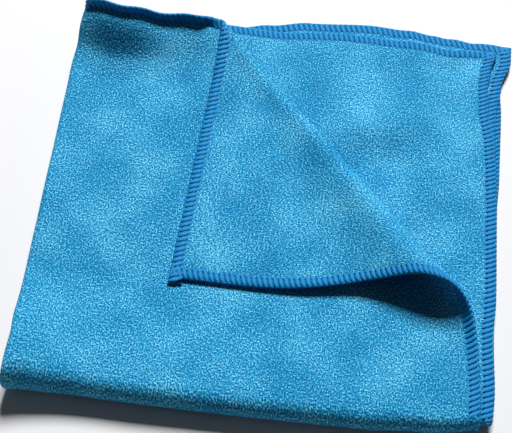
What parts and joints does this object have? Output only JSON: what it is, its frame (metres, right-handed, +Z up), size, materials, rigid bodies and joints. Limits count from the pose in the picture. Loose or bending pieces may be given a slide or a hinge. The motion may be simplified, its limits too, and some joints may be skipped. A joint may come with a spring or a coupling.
{
  "type": "microfibre cloth",
  "caption": "Square microfibre cloth folded in four with a loose front fold and the free corner of its top layer turned back in a soft roll.",
  "frame": {"origin": "under the middle of the folded cloth's box, on the surface that it lies on", "axes": "+X along the front fold towards the open hems at the right, +Y from the front fold towards the open hems at the back, +Z up through the layers"},
  "size_m": [0.2074, 0.214, 0.0305],
  "materials": {
    "cloth": "matt short pile"
  },
  "bodies": {
    "root": {"cloth": "cloth"}
  },
  "joints": []
}
